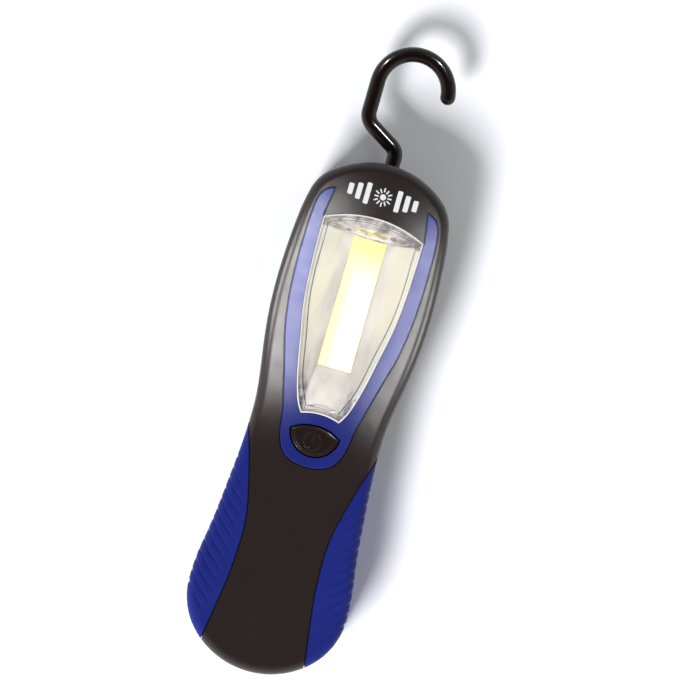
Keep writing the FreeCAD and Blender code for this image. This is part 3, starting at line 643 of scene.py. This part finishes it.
def make_rim_bead():
    """A fine crowned bead along the outer edge of the lens's flat rim."""
    source = bmesh.new()
    source.from_mesh(nodes["lens"].data)
    bmesh.ops.remove_doubles(source, verts=source.verts, dist=WELD)
    flat = [face for face in source.faces
            if face.normal.z > RIM_LEVEL and abs(face.calc_center_median().z - RIM_Z) < RIM_MARGIN]
    loop = outer_loop(source, flat)
    source.free()
    middle = sum(loop, Vector()) / len(loop)
    form = bmesh.new()
    rows = []
    for before, here, after in zip(loop[-1:] + loop[:-1], loop, loop[1:] + loop[:1]):
        along = (after - before).normalized()
        inward = Vector((-along.y, along.x, 0))
        if inward.dot(middle - here) < 0:
            inward.negate()
        row = []
        for step in range(BEAD_STEPS + 1):
            angle = math.pi * step / BEAD_STEPS
            across = BEAD_WIDTH * (0.5 - 0.5 * math.cos(angle)) + BEAD_INSET
            lift = BEAD_HEIGHT * math.sin(angle) - BEAD_SINK
            row.append(form.verts.new(here + inward * across + Vector((0, 0, lift))))
        rows.append(row)
    for row, after in zip(rows, rows[1:] + rows[:1]):
        for index in range(BEAD_STEPS):
            form.faces.new((row[index], row[index + 1], after[index + 1], after[index]))
    bmesh.ops.recalc_face_normals(form, faces=form.faces)
    # The bead's pale, faintly glowing material is painted light for the lamp's light in the rim.
    smooth(new_piece("lens_rim_bead", form, "case", make_lit_rim_material()))


def revolved(form, profile, centre, steps):
    """Turns a closed profile of (radius, height) points about an upright axis through centre."""
    rings = []
    for step in range(steps):
        angle = math.tau * step / steps
        ring = []
        for radius, height in profile:
            x = centre.x + radius * math.cos(angle)
            y = centre.y + radius * math.sin(angle)
            ring.append(form.verts.new((x, y, centre.z + height)))
        rings.append(ring)
    for ring, after in zip(rings, rings[1:] + rings[:1]):
        for index in range(len(profile)):
            ahead = (index + 1) % len(profile)
            form.faces.new((ring[index], after[index], after[ahead], ring[ahead]))
    bmesh.ops.recalc_face_normals(form, faces=form.faces)


def make_bellows():
    """The soft pad under the button: a silicone sleeve with two folds between a foot and a lip."""
    low = corner_low("return_pad")
    high = corner_high("return_pad")
    centre = Vector(((low.x + high.x) / 2, (low.y + high.y) / 2, low.z))
    outside = (high.x - low.x) / 2
    height = high.z - low.z
    outer = [(outside, 0.0)]
    for step in range(PAD_STEPS + 1):
        share = step / PAD_STEPS
        fold = PAD_FOLD * (0.5 - 0.5 * math.cos(math.tau * PAD_FOLDS * share))
        outer.append((outside - fold, height * (PAD_FOOT + (1 - 2 * PAD_FOOT) * share)))
    outer.append((outside, height))
    inner = [(radius - PAD_WALL, rise) for radius, rise in reversed(outer)]
    form = bmesh.new()
    revolved(form, outer + inner, centre, PAD_SIDES)
    bellows = new_piece("button_bellows", form, "case", silicone)
    smooth(bellows)
    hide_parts("return_pad")
    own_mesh(bellows)


make_print()
make_door_arrow()
make_rim_bead()
make_bellows()


# ---- room ---------------------------------------------------------------------------------------

def make_floor():
    """A pale, faintly blue table top, seen through from below so that the light's back can be looked at."""
    form = bmesh.new()
    bmesh.ops.create_grid(form, x_segments=8, y_segments=8, size=FLOOR_HALF)
    bmesh.ops.translate(form, verts=form.verts, vec=(0, 0, -FLOOR_DROP))
    mesh = bpy.data.meshes.new("table_top")
    form.to_mesh(mesh)
    form.free()
    material, tree, shader = new_material("table_white")
    tone = vary(tree, 8.0, 0.0, 1.0)
    feed(tree, shader, "Base Color", mix(tree, tone, (0.905, 0.915, 0.955), (0.925, 0.935, 0.975)))
    shader.inputs["Roughness"].default_value = 0.8
    geometry = tree.nodes.new("ShaderNodeNewGeometry")
    path = tree.nodes.new("ShaderNodeLightPath")
    passing = arithmetic(tree, "MAXIMUM", geometry.outputs["Backfacing"], path.outputs["Is Shadow Ray"])
    see_through(tree, shader, passing)
    mesh.materials.append(material)
    put("table_top", mesh)


def area_light(name, position, target, size, power, length=None):
    """A soft light at position that faces target: square, or a strip where length is given."""
    data = bpy.data.lights.new(name, "AREA")
    data.size = size
    data.energy = power
    if length is not None:
        data.shape = "RECTANGLE"
        data.size_y = length
    lamp = put(name, data)
    lamp.location = position
    lamp.rotation_euler = (Vector(target) - Vector(position)).to_track_quat("-Z", "Y").to_euler()
    return lamp


def light_only(lamp, names):
    """Lets a lamp reach these objects and nothing else."""
    lit = bpy.data.collections.new("lit_by_" + lamp.name)
    for name in names:
        lit.objects.link(nodes[name] if name in nodes else bpy.data.objects[name])
    lamp.light_linking.receiver_collection = lit


def make_veil():
    """Narrow lamps over both sides of the head: the pale veil that its lit lens leaves in the picture."""
    for side, x, width, power in VEIL_SIDES:
        above = area_light("glow_" + side, (x, VEIL_Y, VEIL_Z), (x, VEIL_Y, 0), width, power, VEIL_LENGTH)
        beside = area_light("edge_glow_" + side, (EDGE_VEIL_OUT * x, VEIL_Y, VEIL_Z),
                            (x, VEIL_Y, EDGE_VEIL_AIM_Z), EDGE_VEIL_WIDTH, EDGE_VEIL_SHARE * power,
                            EDGE_VEIL_LENGTH)
        for lamp in (above, beside):
            lamp.data.spread = math.radians(VEIL_SPREAD)
            lamp.visible_diffuse = False
            light_only(lamp, ("front_shell", "lens_trim"))


def make_highlights():
    """Strips that show in the hook, the button and the lens, and a lower lamp for the button alone."""
    for side, position in STRIP_PLACES:
        strip = area_light("strip_" + side, position, STRIP_AIM, STRIP_WIDTH, STRIP_POWER, STRIP_LENGTH)
        strip.visible_diffuse = False
        light_only(strip, ("hook", "power_button", "lens"))
    low = area_light("strip_low", position=(-0.30, -0.42, 0.34), target=(0, -0.03, 0.03), size=0.10,
                     power=1.5)
    low.visible_diffuse = False
    light_only(low, ("power_button",))


def make_lights():
    """The key, a big soft light from the lower left that leaves no highlights, and lamps for single pieces.

    The last lamp lights everything from below, through the table.
    """
    key = area_light("key", KEY_PLACE, (0, 0, 0), KEY_SIZE, KEY_POWER)
    key.visible_glossy = False
    make_veil()
    inner = area_light("inner", position=(0, 0.16, 0.2), target=(0, 0, 0.025), size=0.1, power=0.3)
    light_only(inner, ("reflector",))
    make_highlights()
    shadow_fill = area_light("shadow_fill", position=(0.09, 0.10, 0.2), target=(0.04, 0.07, 0), size=0.1,
                             power=0.062)
    shadow_fill.visible_camera = False
    light_only(shadow_fill, ("table_top",))
    area_light("under", position=(0, 0, -0.8), target=(0, 0, 0), size=1.0, power=12.0)


def make_surroundings():
    """White walls that go over into a dark ceiling."""
    world = bpy.data.worlds.new("studio")
    world.use_nodes = True
    tree = world.node_tree
    upward = split_place(tree, "Generated")["Z"]
    background = tree.nodes["Background"]
    background.inputs["Color"].default_value = (1.0, 1.0, 1.0, 1.0)
    strength = remap(tree, upward, WALL_TOP, CEILING, WALL_LIGHT, CEILING_LIGHT)
    tree.links.new(strength, background.inputs["Strength"])
    bpy.context.scene.world = world
    bpy.context.scene.view_settings.view_transform = "Standard"


def make_camera():
    """Straight above the light, turned so that the light leans to the right in the picture."""
    data = bpy.data.cameras.new("camera")
    data.sensor_width = SENSOR * 1000
    data.lens = SENSOR * 1000 * CAMERA_HEIGHT / FRAME_WIDTH
    data.clip_start = 0.01
    data.clip_end = 20.0
    camera = put("camera", data)
    middle = (cad_box[0].z + corner_high("front_shell").z) / 2
    camera.location = (VIEW_CENTRE[0], VIEW_CENTRE[1], middle + CAMERA_HEIGHT)
    camera.rotation_euler = (0, 0, math.radians(TILT))
    bpy.context.scene.camera = camera


make_floor()
make_lights()
make_surroundings()
make_camera()
